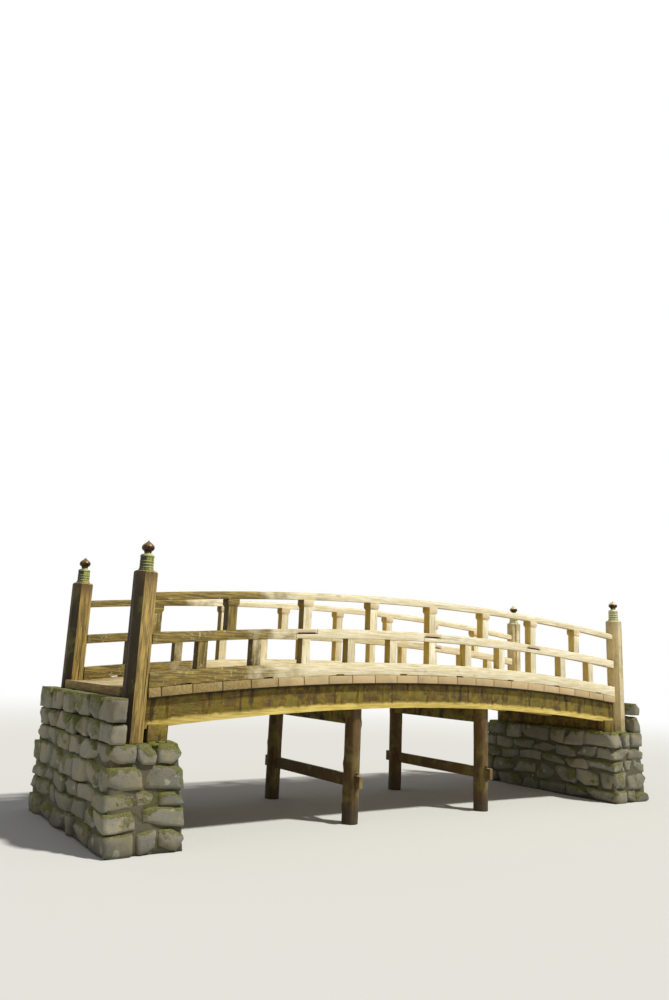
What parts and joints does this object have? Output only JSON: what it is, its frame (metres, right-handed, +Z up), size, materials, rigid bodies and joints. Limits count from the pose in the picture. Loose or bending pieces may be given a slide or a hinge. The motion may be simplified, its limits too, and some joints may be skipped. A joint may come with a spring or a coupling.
{
  "type": "moon bridge",
  "caption": "Gently arched timber garden footbridge with lapped railings, octagonal end posts, turned bronze finials, log piers and stone abutments.",
  "frame": {"origin": "middle of the footprint, on the stream bed that the piers and abutments stand on", "axes": "+X along the bridge to the right end in the picture, +Y across it away from the viewer, +Z up"},
  "size_m": [7.81, 2.545, 2.784],
  "materials": {
    "abutment_stone": "rough laid field stone with moss",
    "pier_logs": "peeled log, weathered brown",
    "mossy_beams": "weathered softwood with moss and algae",
    "deck_boards": "sawn softwood, worn pale by feet and weather",
    "railing_wood": "planed softwood, unpainted and sun-bleached",
    "end_post_wood": "weathered softwood with long drying checks",
    "patinated_bronze": "cast bronze with brown and green patina"
  },
  "bodies": {
    "root": {"abutment_left": "abutment_stone", "abutment_right": "abutment_stone", "sill_beam_left": "mossy_beams", "sill_beam_right": "mossy_beams", "pier_posts_left": "pier_logs", "pier_posts_right": "pier_logs", "crossbeam_left": "mossy_beams", "crossbeam_right": "mossy_beams", "pier_tie_left": "mossy_beams", "pier_tie_right": "mossy_beams", "girder_near": "mossy_beams", "girder_middle": "mossy_beams", "girder_far": "mossy_beams", "deck_planks": "deck_boards", "threshold_left": "deck_boards", "threshold_right": "deck_boards", "base_rail_near": "railing_wood", "base_rail_far": "railing_wood", "short_posts_near": "railing_wood", "short_posts_far": "railing_wood", "mid_rail_near_outer_left": "railing_wood", "mid_rail_near_inner_left": "railing_wood", "mid_rail_near_inner_right": "railing_wood", "mid_rail_near_outer_right": "railing_wood", "mid_rail_far_outer_left": "railing_wood", "mid_rail_far_inner_left": "railing_wood", "mid_rail_far_inner_right": "railing_wood", "mid_rail_far_outer_right": "railing_wood", "tall_posts_near": "railing_wood", "tall_posts_far": "railing_wood", "cap_blocks_near": "railing_wood", "cap_blocks_far": "railing_wood", "handrail_near": "railing_wood", "handrail_far": "railing_wood", "end_post_near_left": "end_post_wood", "end_post_near_right": "end_post_wood", "end_post_far_left": "end_post_wood", "end_post_far_right": "end_post_wood", "finial_near_left": "patinated_bronze", "finial_near_right": "patinated_bronze", "finial_far_left": "patinated_bronze", "finial_far_right": "patinated_bronze"}
  },
  "joints": []
}
